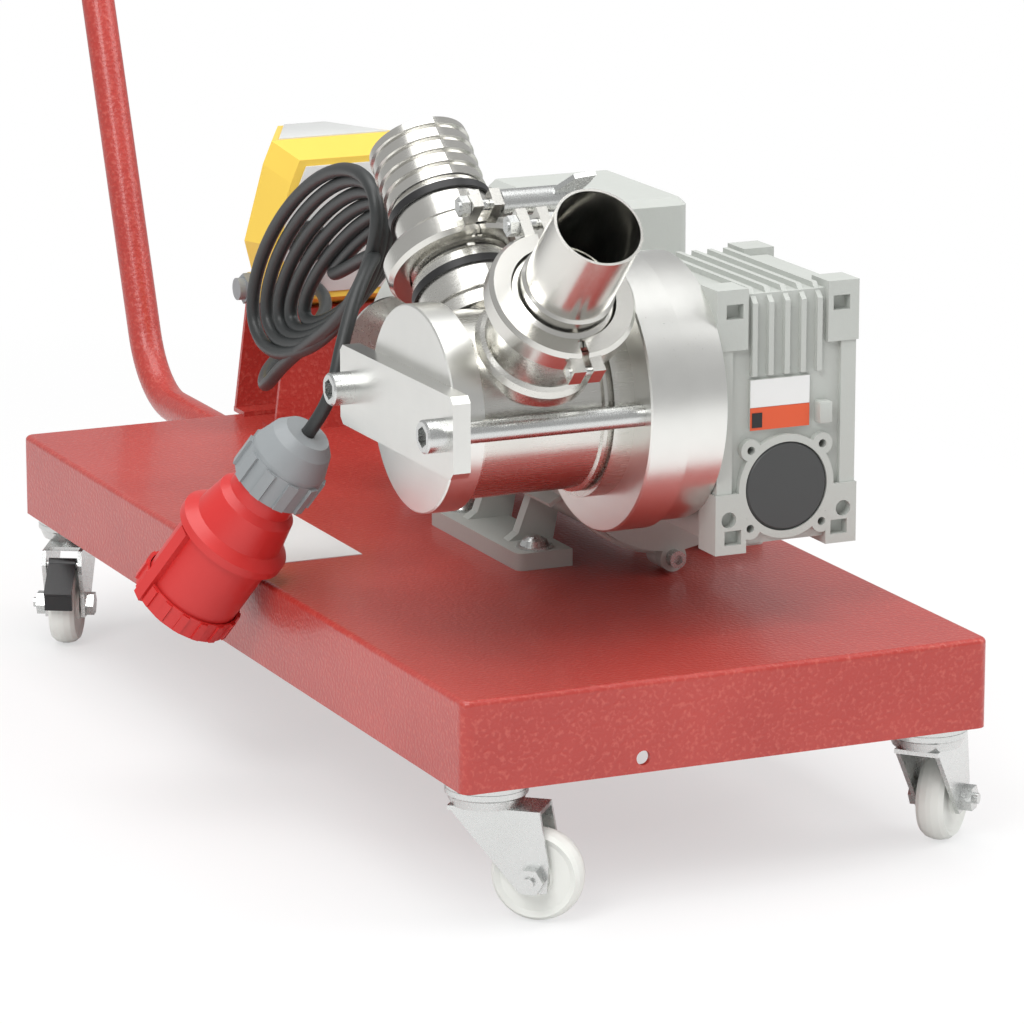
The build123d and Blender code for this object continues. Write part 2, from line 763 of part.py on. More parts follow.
def gear_fins(low, high):
    """Fins that run over the top and down the front face above the plate pad."""
    back, front = low.X + corner_block[0] / 3, high.X - 0.5
    root, crest, foot = high.Z - gearbox_inset - 1, high.Z - 1, shaft_z + plate_rise + plate_height / 2 + 2
    outline = [(back, root), (back, crest), (front - fin_bevel, crest), (front, crest - fin_bevel), (front, foot),
               (high.X - gearbox_inset - 1, foot), (high.X - gearbox_inset - 1, root)]
    fins = None
    for index in range(fin_rows):
        plane = Plane(origin=(0, low.Y + fin_first + index * fin_pitch + gear_fin, 0), x_dir=X, z_dir=-Y)
        fin = extrude(plane * make_face(Polyline(*outline, close=True)), gear_fin)
        fins = fin if fins is None else fins + fin
    return fins


def cap_lugs_at():
    half = cap_lug_pitch / 2
    return [(motor_y + sy * half, shaft_z + sz * half) for sy in (-1, 1) for sz in (-1, 1)]


def corner_pockets(low, high):
    """Core pockets, side slots and round holes in the front and rear corner blocks."""
    cuts = []
    size_x, size_y, size_z = corner_block
    for x, deep_x in ((low.X, low.X), (high.X - size_x, high.X - pocket_depth)):
        for side, edge in ((1, low.Y), (-1, high.Y)):
            near, far = sorted((edge + side * 5.5, edge + side * (5.5 + pocket_width)))
            for z in (high.Z - 8 - pocket_height, low.Z + 5):
                cuts.append(block((deep_x, near, z), (deep_x + pocket_depth, far, z + pocket_height)))
            middle = high.Z - 23.5
            rounded = slot_height / 2
            inner = edge + side * (slot_reach - rounded)
            near, far = sorted((edge - side, inner))
            cuts.append(block((x, near, middle - rounded), (x + size_x - gearbox_inset, far, middle + rounded)))
            cuts.append(rod(rounded, size_x - gearbox_inset, (x, inner, middle), X))
            cuts.append(rod(corner_hole, pocket_depth, (deep_x, edge + side * 8, low.Z + 19), X))
    return Compound(cuts)


def worm_end_cap():
    return turned([(0, 0), (cap_radius, 0), (cap_radius, gearbox_wall - 1.5), (cap_radius - 1.5, gearbox_wall),
                   (0, gearbox_wall)], (gearbox_front - gearbox_wall, motor_y, shaft_z), X)


def worm():
    """Three-start worm between its bearings."""
    blank = rod(worm_pitch_radius + tooth_module - 1.6, worm_length, (pump_x - worm_length / 2, motor_y, shaft_z), X)
    blank += rod(8, worm_front - worm_back, (worm_back, motor_y, shaft_z), X)
    return blank


def worm_wheel():
    blank = ring(wheel_pitch_radius - tooth_module, hub_radius - 1, gear_width,
                 (pump_x, motor_y - gear_width / 2, pump_z), Y)
    hub = ring(hub_radius, pump_shaft_radius + fit, gearbox_width - 4, (pump_x, gearbox_near + 2, pump_z), Y)
    return blank + hub


def worm_bearings():
    front = gearbox_front - gearbox_wall - 1
    seats = [ring(cap_radius, 8 + fit, 10, (front - 10, motor_y, shaft_z), X),
             ring(24 - fit, 8 + fit, 10, (worm_back + 4, motor_y, shaft_z), X)]
    return seats


def output_bearings():
    seats = []
    for y in (gearbox_near + 1, gearbox_far - 1 - 12):
        seats.append(ring(output_bore_radius - fit, hub_radius + fit, 12, (pump_x, y, pump_z), Y))
    return seats


def output_cover():
    """Closing cover on the far side of the gearbox."""
    return turned([(0, 0), (38, 0), (38, 4), (36, 6), (30, 6), (28, 10), (0, 10)],
                  (pump_x, gearbox_far, pump_z), Y)


# ---------------------------------------------------------------- pump
def adapter_disc():
    return ring(adapter_radius, output_bore_radius - 6, adapter_thickness, (pump_x, adapter_near, pump_z), Y)


def pump_flange():
    disc = turned([(25, 0), (flange_radius - 1, 0), (flange_radius, 1), (flange_radius, flange_thickness),
                   (25, flange_thickness)], (pump_x, flange_near, pump_z), Y)
    for sx in (-1, 1):
        disc -= rod(tie_rod_radius + fit, 16, (pump_x + sx * tie_rod_pitch / 2, flange_near - 1, pump_z), Y)
    return disc


def pump_body():
    """Round casing with a stepped collar, two welded port stubs and a blanked side connection."""
    at = (pump_x, body_near, pump_z)
    length = body_length
    body = turned([(0, 0), (body_radius + 2, 0), (body_radius + 2, 3), (body_radius, 3.5),
                   (body_radius, length - collar_length - 5), (body_radius + 2, length - collar_length - 4),
                   (body_radius + 2, length - collar_length - 2), (body_radius, length - collar_length - 1.5),
                   (body_radius, length - collar_length), (collar_radius, length - collar_length),
                   (collar_radius, length), (0, length)], at, Y)
    for axis in (discharge_axis, suction_axis):
        stub = turned([(0, 20), (stub_radius, 20), (stub_radius, stub_end - 2), (stub_radius - 1.5, stub_end),
                       (neck_radius, stub_end), (neck_radius, ferrule_face - 7),
                       (ferrule_radius, ferrule_face - ferrule_lip), (ferrule_radius, ferrule_face),
                       (0, ferrule_face)], port_centre, axis)
        body += stub + weld_bead(axis, 0)
    body -= rod(body_bore, chamber_depth + 1, (pump_x, body_near - 1, pump_z), Y)
    for axis in (discharge_axis, suction_axis):
        body -= rod(port_bore, ferrule_face + 1, port_centre, axis)
    return body - rod(25, length, (pump_x, body_near + chamber_depth + 8, pump_z), Y) \
        - rod(pump_shaft_radius + 4, length, (pump_x, body_near, pump_z), Y)


def weld_bead(axis, extra):
    """Fillet of weld round a port stub; extra grows it for cutting pieces that meet it."""
    wide, narrow = stub_radius + weld_leg + extra, stub_radius + extra
    return turned([(0, body_radius - 6.5), (wide, body_radius - 6.5), (wide, body_radius + 1),
                   ((wide + narrow) / 2, body_radius + weld_leg + extra), (narrow, body_radius + weld_leg + 2 + extra),
                   (narrow, stub_end - 4), (0, stub_end - 4)], port_centre, axis)


def cable_hook():
    """Bar welded to the casing above the tie rod, with a round keeper plate."""
    root = port_centre + Z * hook_rise
    arm = rod(hook_radius, hook_length, root - X * hook_reach, X) - weld_bead(suction_axis, hook_gap)
    plate = rod(hook_plate_radius, hook_plate_sheet, root - X * hook_reach - Z * hook_rise, X)
    return arm + plate


def pump_cover():
    at = (pump_x, cover_near, pump_z)
    cover = turned([(0, 0), (cover_radius - 0.8, 0), (cover_radius, 0.8), (cover_radius, cover_thickness),
                    (0, cover_thickness)], at, Y)
    return cover - ring(body_bore + 5, body_bore + 1.5, 3, (pump_x, body_near - 3, pump_z), Y)


def cover_oring():
    return ring(body_bore + 5, body_bore + 1.5, 3, (pump_x, body_near - 3, pump_z), Y)


def clamp_bar():
    half_x, half_z = bar_length / 2, bar_height / 2
    bar = block((pump_x - half_x, bar_near, pump_z - half_z), (pump_x + half_x, cover_near, pump_z + half_z))
    bar = chamfer(bar.edges().filter_by(Axis.Y), 3.5)
    for sx in (-1, 1):
        bar -= rod(tie_rod_radius + fit, bar_thickness + 2, (pump_x + sx * tie_rod_pitch / 2, bar_near - 1, pump_z), Y)
    return bar


def tie_rods():
    """Long socket-head screws from the clamp bar back into the flange."""
    rods = []
    for sx in (-1, 1):
        x = pump_x + sx * tie_rod_pitch / 2
        shank = rod(tie_rod_radius, flange_near + 15 - bar_near, (x, bar_near, pump_z), Y)
        head = turned([(0, 0), (screw_head_radius - 1, 0), (screw_head_radius, 1),
                       (screw_head_radius, screw_head_height), (0, screw_head_height)],
                      (x, bar_near - screw_head_height, pump_z), Y)
        head -= hexagon(10, 6, (x, bar_near - screw_head_height, pump_z), Y)
        rods.append(head + shank)
    return Compound(rods)


def cam_insert():
    """Crescent between the ports that bends the vanes."""
    outer = rod(body_bore - fit, chamber_depth - 1, (pump_x, body_near + 0.5, pump_z), Y)
    half_angle = radians(port_angle) - 0.62
    reach = body_bore * 2
    wedge = Polyline((0, 0), (reach * sin(half_angle), reach * cos(half_angle)),
                     (-reach * sin(half_angle), reach * cos(half_angle)), close=True)
    sector = extrude(Plane(origin=(pump_x, body_near + 0.5, pump_z), x_dir=X, z_dir=-Y) * make_face(wedge),
                     -(chamber_depth - 1))
    return (outer & sector) - rod(body_bore - cam_rise, chamber_depth + 2, (pump_x, body_near - 1, pump_z), Y)


def impeller():
    """Moulded hub with straight vanes that end in round beads."""
    reach = body_bore - cam_rise - running_gap
    length = chamber_depth - 2
    base = Plane(origin=(pump_x, body_near + 1, pump_z), z_dir=Y)
    shape = Cylinder(20, length, align=(Align.CENTER, Align.CENTER, Align.MIN))
    for index in range(vane_count):
        turn = Rot(0, 0, 360 * (index + 0.5) / vane_count)
        bead = vane_thickness / 2 + 0.8
        vane = Pos((reach - bead) / 2 + 6, 0, 0) * Box(
            reach - bead - 12, vane_thickness - 1.5, length, align=(Align.CENTER, Align.CENTER, Align.MIN))
        tip = Pos(reach - bead, 0, 0) * Cylinder(bead, length, align=(Align.CENTER, Align.CENTER, Align.MIN))
        shape += turn * (vane + tip)
    shape -= Pos(0, 0, -1) * Cylinder(pump_shaft_radius + fit, length + 2,
                                      align=(Align.CENTER, Align.CENTER, Align.MIN))
    return base * shape


def pump_shaft():
    start = body_near + 2
    return rod(pump_shaft_radius, gearbox_far - 4 - start, (pump_x, start, pump_z), Y)


def shaft_seal():
    """Stationary seat ring around the shaft behind the chamber."""
    start = body_near + chamber_depth + 8
    return ring(25 - fit, pump_shaft_radius + fit, 14, (pump_x, start, pump_z), Y)


# ---------------------------------------------------------------- pipe fittings
def tail_start():
    return ferrule_face + gasket_thickness


def ferrule_profile(neck):
    start = tail_start()
    return [(ferrule_radius, start), (ferrule_radius, start + ferrule_lip), (neck, start + 7)]


def discharge_tube():
    start = tail_start()
    wall = [(port_bore, start)] + ferrule_profile(discharge_radius + 1.5)
    wall += [(discharge_radius + 1.5, start + 15), (discharge_radius, start + 16.5),
             (discharge_radius, discharge_end), (mouth_bore, discharge_end), (mouth_bore, discharge_end - mouth_depth),
             (port_bore, discharge_end - mouth_depth)]
    return turned(wall, port_centre, discharge_axis)


def suction_tail():
    """Hose tail: smooth sleeve, then rounded barbs."""
    start = tail_start()
    wall = [(port_bore, start)] + ferrule_profile(suction_radius)
    pitch = (suction_end - barb_start) / barb_count
    for index in range(barb_count):
        low = barb_start + index * pitch
        wall += [(suction_radius, low), (suction_radius - 1.6, low + 1.0), (suction_radius + 0.8, low + 2.4),
                 (suction_radius + 0.2, low + pitch - 1.5)]
    wall += [(suction_radius - 2.0, suction_end), (mouth_bore, suction_end), (mouth_bore, suction_end - mouth_depth),
             (port_bore, suction_end - mouth_depth)]
    return turned(wall, port_centre, suction_axis)


def ferrule_gaskets():
    rings = []
    for axis in (discharge_axis, suction_axis):
        rings.append(turned([(port_bore + 0.5, ferrule_face), (ferrule_radius - 0.5, ferrule_face),
                             (ferrule_radius - 0.5, tail_start()), (port_bore + 0.5, tail_start())],
                            port_centre, axis))
    return Compound(rings)


def clamp_middle():
    return ferrule_face + gasket_thickness / 2


def clamp_side(axis):
    """Direction across a port, on the side where the clamp's bolt sits."""
    return Vector(-axis.X, 0, axis.Z).normalized() if axis.X > 0 else Vector(axis.Z, 0, -axis.X).normalized()


def pipe_clamp(axis):
    """Two half rings with a wedge groove, bolt ears on one side and hinge ears on the other."""
    middle, half = clamp_middle(), clamp_width / 2
    lip = suction_radius + 1.2
    gap = 0.3
    profile = [(lip, -half), (clamp_radius - 2, -half), (clamp_radius, -half + 2.5), (clamp_radius, half - 2.5),
               (clamp_radius - 2, half), (lip, half), (lip, 7.3), (ferrule_radius + gap, 4.2 + gap),
               (ferrule_radius + gap, -4.2 - gap), (lip, -7.3)]
    band = turned([(r, middle + h) for r, h in profile], port_centre, axis)
    out = clamp_side(axis)
    at = along(axis, middle)
    frame = Plane(origin=at, x_dir=out, z_dir=axis)
    for side in (-1, 1):
        reach = clamp_radius + ear_reach if side > 0 else clamp_radius + ear_reach / 2
        ear = Pos(side * (clamp_radius - 3 + reach) / 2, 0, 0) * Box(reach - clamp_radius + 3, 18, clamp_width - 4)
        band += frame * ear
        cut = Pos(side * (clamp_radius + reach) / 2, 0, 0) * Box(reach - clamp_radius + 20, clamp_gap(side), clamp_width + 2)
        band -= frame * cut
    band -= frame * Box(4 * clamp_radius, clamp_split, 2 * clamp_width)
    band -= rod(clamp_bolt_radius + 0.3, 60, at + out * ear_radius() - Y * 30, Y)
    band -= rod(2.5, 60, at - out * hinge_radius() - Y * 30, Y)
    return band


def clamp_gap(side):
    return 6.0 if side > 0 else 4.0


def ear_radius():
    return clamp_radius + ear_reach / 2 + 1


def hinge_radius():
    return clamp_radius + ear_reach / 4


def pipe_clamps():
    return Compound([solid for axis in (discharge_axis, suction_axis) for solid in pipe_clamp(axis).solids()])


def clamp_bolts():
    """Clamp screws, hinge pins and hinge links."""
    pieces = []
    for axis in (discharge_axis, suction_axis):
        at = along(axis, clamp_middle())
        out = clamp_side(axis)
        centre = at + out * ear_radius()
        screw = rod(clamp_bolt_radius, 40, centre - Y * 15, Y)
        screw += hexagon(10, 5, centre - Y * 14.2, Y)
        pieces.append(screw)
        if axis.X > 0:
            pieces.append(hexagon(10, 6, centre + Y * 9.1, Y) - rod(clamp_bolt_radius, 8, centre + Y * 9, Y))
        hinge = at - out * hinge_radius()
        pieces.append(rod(2.4, 20, hinge - Y * 10, Y))
    return Compound(pieces)


def wing_nut():
    """Long sleeve nut with two wings on the suction clamp's screw."""
    centre = along(suction_axis, clamp_middle()) + clamp_side(suction_axis) * ear_radius()
    start = centre + Y * (9 + running_gap)
    sleeve = rod(7.5, 44, start, Y) - rod(clamp_bolt_radius + fit, 17, start - Y * 0.1, Y)
    frame = Plane(origin=start + Y * 30, x_dir=clamp_side(suction_axis), z_dir=Y)
    outline = [(6, 0), (9, 0), (20, 8), (22, 20), (14, 18), (6, 14)]
    for side in (-1, 1):
        face = Plane(origin=frame.origin, x_dir=frame.x_dir * side, z_dir=frame.x_dir.cross(Y) * side)
        wing = extrude(face * make_face(Polyline(*outline, close=True)), 1.5, both=True)
        sleeve += wing
    return sleeve


# ---------------------------------------------------------------- mains lead
plug_axis = Vector(*plug_tilt).normalized()


def plug_shroud():
    """Plug body: open shroud, flange ring and stepped rear."""
    depth = 42.0
    profile = [(shroud_radius - 2.2, 0), (shroud_radius, 0), (shroud_radius, shroud_length),
               (plug_ring_radius, shroud_length + 2), (plug_ring_radius, shroud_length + 7),
               (shroud_radius - 1, shroud_length + 12), (nut_radius + 1, shroud_length + 30),
               (nut_radius - 3, shroud_length + 34), (nut_radius - 3, plug_length),
               (0, plug_length), (0, depth), (shroud_radius - 2.2, depth)]
    shell = turned(profile, plug_rim, plug_axis)
    frame = Plane(origin=plug_rim, z_dir=plug_axis)
    key = frame * Pos(0, -shroud_radius - 1, 0) * Box(8, 5, shroud_length, align=(Align.CENTER, Align.CENTER, Align.MIN))
    return shell + key


def plug_nut():
    """Gland nut with finger facets."""
    start = plug_rim + plug_axis * (plug_length + fit)
    nut = turned([(cable_radius + 0.2, 0), (nut_radius, 0), (nut_radius, nut_length * 0.55),
                  (nut_radius - 4, nut_length * 0.85), (nut_radius - 9, nut_length),
                  (cable_radius + 0.2, nut_length)], start, plug_axis)
    return nut


def plug_pins():
    frame = Plane(origin=plug_rim + plug_axis * 8, z_dir=plug_axis)
    pins = []
    for index in range(5):
        angle = radians(72 * index + 90)
        pins.append(frame * Pos(15 * cos(angle), 15 * sin(angle), 0) * Cylinder(
            3.0 if index else 3.6, 34, align=(Align.CENTER, Align.CENTER, Align.MIN)))
    return Compound(pins)


def cable_glands():
    """Gland for the mains lead on the inverter's front and a blanked one on its side."""
    glands = []
    for base, axis in ((front_gland_at(), X), (Vector(*gland_at()), -Y)):
        body = rod(gland_radius, gland_boss_depth / 2 + gland_nose, base - axis * (gland_boss_depth / 2), axis)
        glands.append(body + hexagon(2 * gland_radius + 3, gland_nose / 2, base + axis * fit, axis))
    return Compound(glands)


def power_coil():
    """Oval bundle of the wound lead, hanging under the suction tail."""
    outline = Ellipse(coil_long, coil_short) - Ellipse(coil_long - coil_band, coil_short - coil_band)
    bundle = extrude(outline, coil_half_width, both=True)
    return Pos(0, 0, deck_top) * Pos(*coil_centre) * (Rot(0, -coil_tilt, 0) * (Rot(90, 0, 0) * bundle))


def cord_route(points):
    """Straight runs joined by arcs as large as their runs allow."""
    points = [Vector(p) for p in points]
    radii = []
    for before, at, after in zip(points, points[1:], points[2:]):
        first, second = at - before, after - at
        turn = radians(first.get_angle(second))
        radii.append(0.45 * min(first.length, second.length) / tan(turn / 2))
    print("cord arc radii, in cable diameters:", [round(r / cable_radius / 2, 1) for r in radii])
    route = FilletPolyline(*points, radius=radii)
    return sweep(Plane(origin=points[0], z_dir=points[1] - points[0]) * Circle(cable_radius), path=route)


def lead_points():
    """From the plug's nut up and over into the coil's right end."""
    end = plug_rim + plug_axis * (plug_length + nut_length - fit)
    return [end, end + plug_axis * 17] + [Vector(*place) + Z * deck_top for place in lead_places]


def feed_points():
    """From the inverter's front gland down to a slack bight and up into the coil's left end."""
    nose = front_gland_at() + X * gland_nose
    return [nose, nose + X * feed_start] + [Vector(*place) + Z * deck_top for place in feed_places]


def power_cord():
    return Compound([cord_route(lead_points()), cord_route(feed_points())])


def cable_ties():
    ties = []
    ties.append(turned([(suction_radius + 0.3, barb_start - 6.5), (suction_radius + 1.8, barb_start - 6.5),
                        (suction_radius + 1.8, barb_start - 2), (suction_radius + 0.3, barb_start - 2)],
                       port_centre, suction_axis))
    ties.append(turned([(stub_radius + 0.1, 70), (stub_radius + 1.6, 70), (stub_radius + 1.6, 74.5),
                        (stub_radius + 0.1, 74.5)], port_centre, suction_axis))
    return Compound(ties)


nodes["deck_tray"] = deck_tray()
nodes["caster_mounts"] = caster_mounts()
for name, (sx, sy, trail) in caster_places().items():
    fork, hub, side, span = caster_fork(sx, sy, trail)
    nodes[f"caster_fork_{name}"] = Compound([fork, caster_axle(hub, side, span)])
    nodes[f"caster_wheel_{name}"] = caster_wheel(hub, side)
    if sx < 0:
        nodes[f"brake_pedal_{name}"], _ = brake_pedal(swivel_at(sx, sy), trail)
nodes["push_handle"] = push_handle()
nodes["handle_grips"] = handle_grips()
nodes["inverter_stand"] = inverter_stand()
nodes["inverter_housing"] = inverter_housing()
nodes["inverter_cover"] = inverter_cover()
nodes["inverter_knob"] = inverter_knob()

nodes["motor_frame"] = motor_frame()
nodes["motor_feet"] = motor_feet()
nodes["foot_bolts"] = foot_bolts()
nodes["motor_flange"] = motor_flange()
nodes["motor_end_shield"] = motor_end_shield()
nodes["fan_cowl"] = fan_cowl()
nodes["motor_fan"] = motor_fan()
nodes["rotor"] = rotor()
nodes["stator"] = stator()
nodes["terminal_box"] = terminal_box()
nodes["terminal_lid"] = terminal_lid()
nodes["gearbox_housing"] = gearbox_housing()
nodes["gearbox_caps"] = Compound([worm_end_cap(), output_cover()])
nodes["housing_screws"] = Compound(flange_screws())
nodes["worm"] = worm()
nodes["worm_wheel"] = worm_wheel()
nodes["bearings"] = Compound(motor_bearings() + worm_bearings() + output_bearings())
nodes["adapter_disc"] = adapter_disc()
nodes["pump_flange"] = pump_flange()
nodes["pump_body"] = pump_body()
nodes["cable_hook"] = cable_hook()
nodes["pump_cover"] = pump_cover()
nodes["cover_oring"] = cover_oring()
nodes["clamp_bar"] = clamp_bar()
nodes["tie_rods"] = tie_rods()
nodes["cam_insert"] = cam_insert()
nodes["impeller"] = impeller()
nodes["pump_shaft"] = pump_shaft()
nodes["shaft_seal"] = shaft_seal()
nodes["discharge_tube"] = discharge_tube()
nodes["suction_tail"] = suction_tail()
nodes["ferrule_gaskets"] = ferrule_gaskets()
nodes["pipe_clamps"] = pipe_clamps()
nodes["clamp_bolts"] = clamp_bolts()
nodes["wing_nut"] = wing_nut()
nodes["plug_shroud"] = plug_shroud()
nodes["plug_nut"] = plug_nut()
nodes["plug_pins"] = plug_pins()
nodes["cable_glands"] = cable_glands()
nodes["power_coil"] = power_coil()
nodes["power_cord"] = power_cord()
nodes["cable_ties"] = cable_ties()

cord_nodes = ("power_cord", "power_coil", "plug_shroud", "plug_nut", "plug_pins")
extent = Compound([shape for name, shape in nodes.items() if name not in cord_nodes]).bounding_box()
centre = (extent.min + extent.max) * 0.5
print("shift to the box's middle, mm:", round(-centre.X, 4), round(-centre.Y, 4), "low", round(extent.min.Z, 4))
for name, shape in nodes.items():
    export_step(Pos(-centre.X, -centre.Y, 0) * shape, f"parts/{name}.step")
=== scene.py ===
import json
import bmesh
import bpy
from math import atan2, cos, pi, radians, sin
from mathutils import Matrix, Vector


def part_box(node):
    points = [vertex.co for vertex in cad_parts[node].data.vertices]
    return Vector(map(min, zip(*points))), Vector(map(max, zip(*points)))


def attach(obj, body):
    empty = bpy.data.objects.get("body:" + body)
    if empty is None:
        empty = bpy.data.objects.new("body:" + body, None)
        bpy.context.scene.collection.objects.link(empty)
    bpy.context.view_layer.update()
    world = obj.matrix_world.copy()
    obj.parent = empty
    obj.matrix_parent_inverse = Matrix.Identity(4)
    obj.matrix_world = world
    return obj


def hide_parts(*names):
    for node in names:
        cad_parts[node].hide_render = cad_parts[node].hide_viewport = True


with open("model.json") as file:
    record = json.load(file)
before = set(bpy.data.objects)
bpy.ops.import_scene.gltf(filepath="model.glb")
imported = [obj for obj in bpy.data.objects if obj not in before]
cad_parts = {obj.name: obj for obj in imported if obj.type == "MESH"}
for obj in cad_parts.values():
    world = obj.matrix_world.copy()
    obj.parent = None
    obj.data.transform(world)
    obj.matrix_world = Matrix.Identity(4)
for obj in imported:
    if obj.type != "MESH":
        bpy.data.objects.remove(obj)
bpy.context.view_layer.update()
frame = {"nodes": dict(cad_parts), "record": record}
print("frame loaded")

deckLow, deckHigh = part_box("deck_tray")
deckMid = (deckLow + deckHigh) / 2
xAxis, yAxis, zAxis = Vector((1, 0, 0)), Vector((0, 1, 0)), Vector((0, 0, 1))


def fromDeck(x, y, z):
    return Vector((deckMid.x + x, deckMid.y + y, deckHigh.z + z))



# ---- camera and studio
studio = {
    "camera": (2.7099, -1.2076, 0.7358),   # from the middle of the deck's top
    "turn": 65.495, "tilt": 76.246, "lens": 184.36, "sensor": 36,
    "floor": 6.0, "floorLevel": -0.0005, "paper": 0.80, "paperRough": 0.9,
    "fadeShape": (1.25, 1.9, 1), "fadeFrom": 0.55, "fadeTo": 1.25, "fadeLeast": 0.55,
    "skyColour": (0.9, 0.9, 0.9, 1), "skyPower": 0.55,
    "lamps": {   # name: (place, aim, size, power)
        "key": ((2.2, -2.2, 2.6), (0.3, 0, 0.2), (1.6, 1.6), 60),
        "fill": ((1.2, 2.4, 2.0), (0.3, 0, 0.2), (2.0, 1.6), 35),
        "top": ((0.2, -0.2, 2.6), (0.2, 0, 0), (2.2, 2.2), 45),
    },
}
eye = bpy.data.cameras.new("mainEye")
eye.lens, eye.sensor_width = studio["lens"], studio["sensor"]
eyeObject = bpy.data.objects.new("mainEye", eye)
bpy.context.scene.collection.objects.link(eyeObject)
eyeObject.location = fromDeck(*studio["camera"])
eyeObject.rotation_euler = (radians(studio["tilt"]), 0, radians(studio["turn"]))
bpy.context.scene.camera = eyeObject
bpy.context.scene.view_settings.view_transform = "Standard"


# a socket of a material's node, with sums and products
class wire:
    def __init__(self, tree, socket):
        self.tree, self.socket = tree, socket

    def reckon(self, operation, first, second=None):
        node = self.tree.nodes.new("ShaderNodeMath")
        node.operation = operation
        for place, item in ((0, first), (1, second)):
            if isinstance(item, wire):
                self.tree.links.new(item.socket, node.inputs[place])
            elif item is not None:
                node.inputs[place].default_value = item
        return wire(self.tree, node.outputs[0])

    def __add__(self, other): return self.reckon("ADD", self, other)
    def __radd__(self, other): return self.reckon("ADD", other, self)
    def __mul__(self, other): return self.reckon("MULTIPLY", self, other)


# a material and short ways to add nodes to it
class finish:
    def __init__(self, name):
        self.material = bpy.data.materials.new(name)
        self.material.use_nodes = True
        self.tree = self.material.node_tree
        self.shader = self.tree.nodes["Principled BSDF"]

    def node(self, kind, settings=None, links=None, give=0):
        node = self.tree.nodes.new(kind)
        for key, item in (settings or {}).items():
            if key == "stops":
                ramp = node.color_ramp
                while len(ramp.elements) < len(item):
                    ramp.elements.new(0.5)
                for element, (place, colour) in zip(ramp.elements, item):
                    element.position, element.color = place, (*colour, 1)
            else:
                setattr(node, key, item)
        for key, item in (links or {}).items():
            if isinstance(item, wire):
                self.tree.links.new(item.socket, node.inputs[key])
            else:
                node.inputs[key].default_value = item
        return wire(self.tree, node.outputs[give])

    def place(self, scale=(1, 1, 1)):
        spot = self.node("ShaderNodeTexCoord", give="Object")
        return self.node("ShaderNodeMapping", None, {"Vector": spot, "Scale": scale})

    def noise(self, scale, detail=3, rough=0.5, spot=None):
        links = {"Vector": spot or self.place(), "Scale": scale, "Detail": detail, "Roughness": rough}
        return self.node("ShaderNodeTexNoise", None, links, "Fac")

    def ramp(self, factor, stops):
        return self.node("ShaderNodeValToRGB", {"stops": stops}, {"Fac": factor}, "Color")

    def mix(self, factor, first, second):
        first, second = [tone if isinstance(tone, wire) else (*tone, 1) for tone in (first, second)]
        return self.node("ShaderNodeMix", {"data_type": "RGBA"}, {0: factor, 6: first, 7: second}, 2)

    def bump(self, height, strength, distance):
        links = {"Height": height, "Strength": strength, "Distance": distance}
        self.set(Normal=self.node("ShaderNodeBump", None, links, "Normal"))

    def set(self, **inputs):
        for key, item in inputs.items():
            socket = self.shader.inputs[key.replace("_", " ")]
            if isinstance(item, wire):
                self.tree.links.new(item.socket, socket)
            elif isinstance(item, tuple):
                socket.default_value = (*item, 1)
            else:
                socket.default_value = item
        return self


# ---- finishes
paints = {
    "redPlastic": (0.62, 0.030, 0.028), "casting": (0.50, 0.52, 0.49), "bareCasting": (0.58, 0.60, 0.57),
    "motor": (0.52, 0.54, 0.51), "steel": (0.72, 0.71, 0.67), "plate": (0.82, 0.82, 0.79), "zinc": (0.66, 0.67, 0.66),
    "yellow": (0.86, 0.60, 0.09), "greyPlastic": (0.29, 0.31, 0.32), "palePlastic": (0.62, 0.63, 0.62),
    "cable": (0.030, 0.033, 0.033), "black": (0.012, 0.012, 0.013), "nylon": (0.80, 0.81, 0.77),
    "cap": (0.055, 0.058, 0.058), "pipe": (0.73, 0.72, 0.68), "rubber": (0.018, 0.018, 0.018),
    "brass": (0.80, 0.56, 0.24), "bronze": (0.55, 0.37, 0.16), "winding": (0.20, 0.07, 0.03),
    "blank": (0.80, 0.81, 0.80), "orangeLabel": (0.72, 0.10, 0.03), "paintedGlint": (0.66, 0.16, 0.12),
    "redLow": (0.400, 0.034, 0.026), "redHigh": (0.460, 0.046, 0.035),
}


def redCoat():
    paint = finish("redCoat")
    orange, broad = paint.noise(420, 2, 0.45), paint.noise(14, 3, 0.6)
    base = paint.ramp(broad, [(0.3, paints["redLow"]), (0.7, paints["redHigh"])])
    # painted highlight: lighter red flecks, masked by the fine orange-peel noise, are painted glints standing in for
    # gloss catching the light on the orange peel
    paintedGlints = paint.ramp(orange, [(0.52, (0, 0, 0)), (0.72, (0.35, 0.35, 0.35))])
    paint.set(Base_Color=paint.mix(paintedGlints, base, paints["paintedGlint"]), Roughness=0.30 + orange * 0.14, Coat_Weight=0.30)
    paint.shader.inputs["Coat Roughness"].default_value = 0.14
    paint.bump(orange, 0.60, 0.0010)
    return paint.material


def castPaint(name, base, grain=260, rough=0.42):
    paint = finish(name)
    fine, broad = paint.noise(grain, 3, 0.6), paint.noise(18, 3, 0.5)
    dark = tuple(c * 0.90 for c in base)
    paint.set(Base_Color=paint.mix(broad, dark, base), Roughness=rough + fine * 0.18)
    paint.bump(fine, 0.30, 0.0005)
    return paint.material


def brushed(name, base, squeeze, rough=0.22, depth=0.12):
    steel = finish(name)
    hairs = steel.noise(900, 2, 0.6, steel.place(scale=squeeze))
    cloud = steel.noise(30, 3, 0.55)
    dark = tuple(c * 0.86 for c in base)
    steel.set(Base_Color=steel.mix(cloud, dark, base), Metallic=1.0)
    steel.set(Roughness=rough - 0.05 + hairs * 0.12 + cloud * 0.06)
    steel.bump(hairs, depth, 0.00012)
    return steel.material


